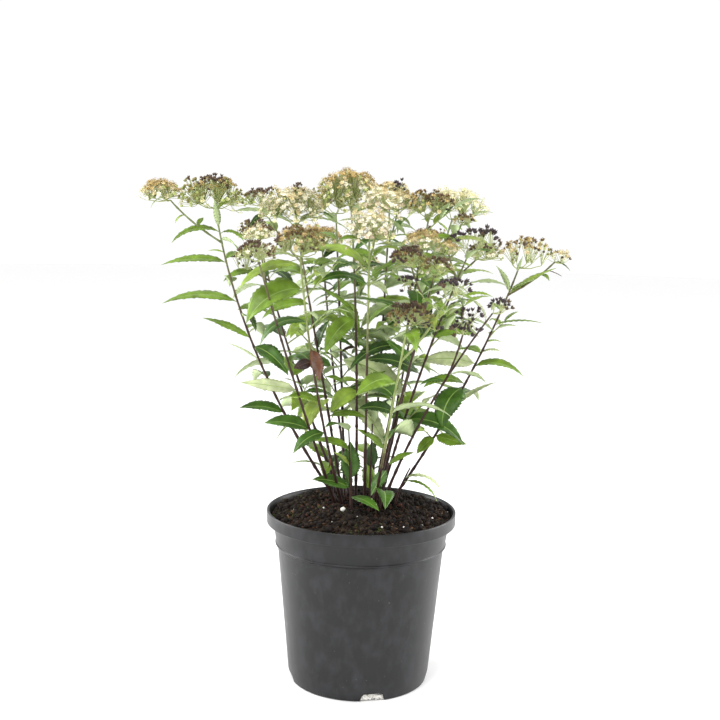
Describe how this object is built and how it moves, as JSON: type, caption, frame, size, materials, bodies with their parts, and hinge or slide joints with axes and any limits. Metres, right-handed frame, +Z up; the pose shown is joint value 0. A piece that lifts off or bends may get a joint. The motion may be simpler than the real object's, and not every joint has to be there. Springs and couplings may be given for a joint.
{
  "type": "potted japanese spirea",
  "caption": "Potted deciduous shrub with thin fanned canes, pointed toothed leaves and flat flower heads, in a round dark plastic nursery pot.",
  "frame": {"origin": "middle of the pot's flat underside", "axes": "+Z up along the pot's axis; -Y towards the pictured front of the plant; +X to the right in that view"},
  "size_m": [0.4194, 0.3561, 0.5112],
  "materials": {
    "pot": "satin dark grey thermoformed plastic, a little dusty",
    "soil": "dark moist peat compost with pale grit",
    "bark": "thin brown to purple bark",
    "foliage": "green leaves, and cream, tan and dark brown flower heads"
  },
  "bodies": {
    "root": {"cane_back_left": "bark", "cane_back_middle": "bark", "cane_back_right": "bark", "cane_centre_back": "bark", "cane_centre_front": "bark", "cane_centre_left": "bark", "cane_centre_tall": "bark", "cane_front_low": "bark", "cane_left_front": "bark", "cane_left_inner": "bark", "cane_left_middle": "bark", "cane_left_tall": "bark", "cane_right_back": "bark", "cane_right_centre": "bark", "cane_right_front": "bark", "cane_right_inner": "bark", "cane_right_low": "bark", "cane_right_tall": "bark", "foliage_back_left": "foliage", "foliage_back_middle": "foliage", "foliage_back_right": "foliage", "foliage_centre_back": "foliage", "foliage_centre_front": "foliage", "foliage_centre_left": "foliage", "foliage_centre_tall": "foliage", "foliage_front_low": "foliage", "foliage_left_front": "foliage", "foliage_left_inner": "foliage", "foliage_left_middle": "foliage", "foliage_left_tall": "foliage", "foliage_right_back": "foliage", "foliage_right_centre": "foliage", "foliage_right_front": "foliage", "foliage_right_inner": "foliage", "foliage_right_low": "foliage", "foliage_right_tall": "foliage", "pot": "pot", "shoot_back": "foliage", "shoot_back_left": "foliage", "shoot_centre": "foliage", "shoot_front_middle": "foliage", "shoot_front_right": "foliage", "shoot_middle": "foliage", "shoot_right": "foliage", "soil": "soil"}
  },
  "joints": []
}
